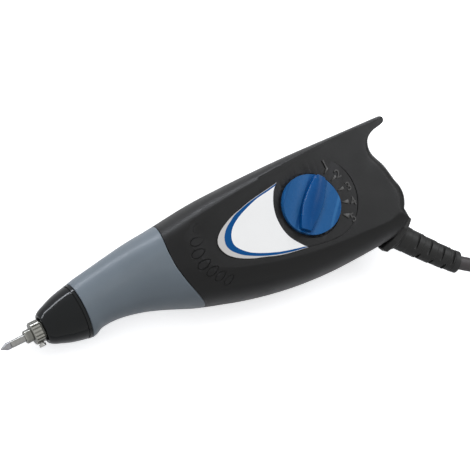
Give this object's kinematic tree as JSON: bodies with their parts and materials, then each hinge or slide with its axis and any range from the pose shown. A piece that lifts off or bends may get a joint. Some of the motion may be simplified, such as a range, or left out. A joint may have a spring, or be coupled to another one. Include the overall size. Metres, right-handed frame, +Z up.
{
  "type": "electric engraving pen",
  "caption": "Corded electric engraving pen: clamshell body with a stroke dial, magnet-driven chuck holding a hard point, rear rocker switch, coiled mains cord and plug.",
  "frame": {"origin": "point on the flat of the right shell that the pen rests on, under the stroke dial", "axes": "+X from the engraving point back along the drive rod, +Y towards the spine, +Z up through the dial"},
  "size_m": [0.3324, 0.0944, 0.0453],
  "materials": {
    "black_plastic": "satin black",
    "grey_grip": "satin blue-grey",
    "gloss_black": "gloss black",
    "steel": "turned",
    "carbide": "ground",
    "bronze": "sintered",
    "core_steel": "dark oxide",
    "nylon": "natural",
    "copper": "enamelled wire",
    "blue_plastic": "satin blue",
    "white_label": "printed",
    "black_rubber": "matte black",
    "brown_wire": "insulated wire",
    "blue_wire": "insulated wire",
    "brass": "drawn"
  },
  "bodies": {
    "housing": {"left_shell": "black_plastic", "right_shell": "black_plastic", "grip_sleeve": "grey_grip", "nose_cone": "gloss_black", "front_bush": "bronze", "rear_bush": "bronze", "return_spring": "steel", "laminated_core": "core_steel", "core_screw_1": "steel", "core_screw_2": "steel", "coil_bobbin": "nylon", "coil_winding": "copper", "dial_washer": "nylon", "label_plate": "white_label", "housing_screw_1": "steel", "housing_screw_2": "steel", "housing_screw_3": "steel", "housing_screw_4": "steel", "housing_screw_5": "steel", "housing_screw_6": "steel", "switch_body": "black_plastic", "strain_relief": "black_rubber", "inner_cord": "black_rubber", "cord_clamp": "nylon", "clamp_screw_1": "steel", "clamp_screw_2": "steel", "wire_cord_to_switch": "brown_wire", "wire_switch_to_coil": "brown_wire", "wire_cord_to_coil": "blue_wire", "cord_free": "black_rubber", "cord_coil": "black_rubber", "cord_tail": "black_rubber", "plug_body": "black_rubber", "plug_blade_1": "brass", "plug_blade_2": "brass"},
    "plunger": {"drive_rod": "steel", "chuck": "steel", "armature": "core_steel", "armature_nut": "steel"},
    "point": {"point_shank": "steel", "carbide_tip": "carbide"},
    "set_screw": {"chuck_set_screw": "steel"},
    "dial": {"dial_knob": "blue_plastic", "stroke_cam": "brass", "cam_screw": "steel"},
    "stop": {"stop_slide": "nylon", "stop_bumper": "black_rubber"},
    "rocker": {"switch_rocker": "black_plastic"}
  },
  "joints": [
    {"name": "plunger_slide", "type": "slide", "parent": "housing", "child": "plunger", "axis": [1, 0, 0], "range_m": [-0.0012, 0], "stiffness_N_per_m": 1500, "springref_m": 0.002, "deforming": ["return_spring"]},
    {"name": "point_pull", "type": "slide", "parent": "plunger", "child": "point", "axis": [1, 0, 0], "range_m": [-0.011, 0]},
    {"name": "set_screw_turn", "type": "hinge", "parent": "plunger", "child": "set_screw", "pos_m": [-0.11376, 0.0036, 0.02], "axis": [0, 1, 0], "range_deg": [0, 720]},
    {"name": "dial_turn", "type": "hinge", "parent": "housing", "child": "dial", "pos_m": [0.00764, 0, 0.04], "axis": [0, 0, 1], "range_deg": [-94, 0]},
    {"name": "stop_shift", "type": "slide", "parent": "housing", "child": "stop", "axis": [1, 0, 0], "range_m": [0, 0.0015]},
    {"name": "rocker_tilt", "type": "hinge", "parent": "housing", "child": "rocker", "pos_m": [0.05391, -0.00412, 0.02], "axis": [0, 0, 1], "range_deg": [-14, 0]}
  ],
  "couplings": [
    {"joint": "stop_shift", "follows": "dial_turn", "m_per_rad": -0.0009142}
  ]
}
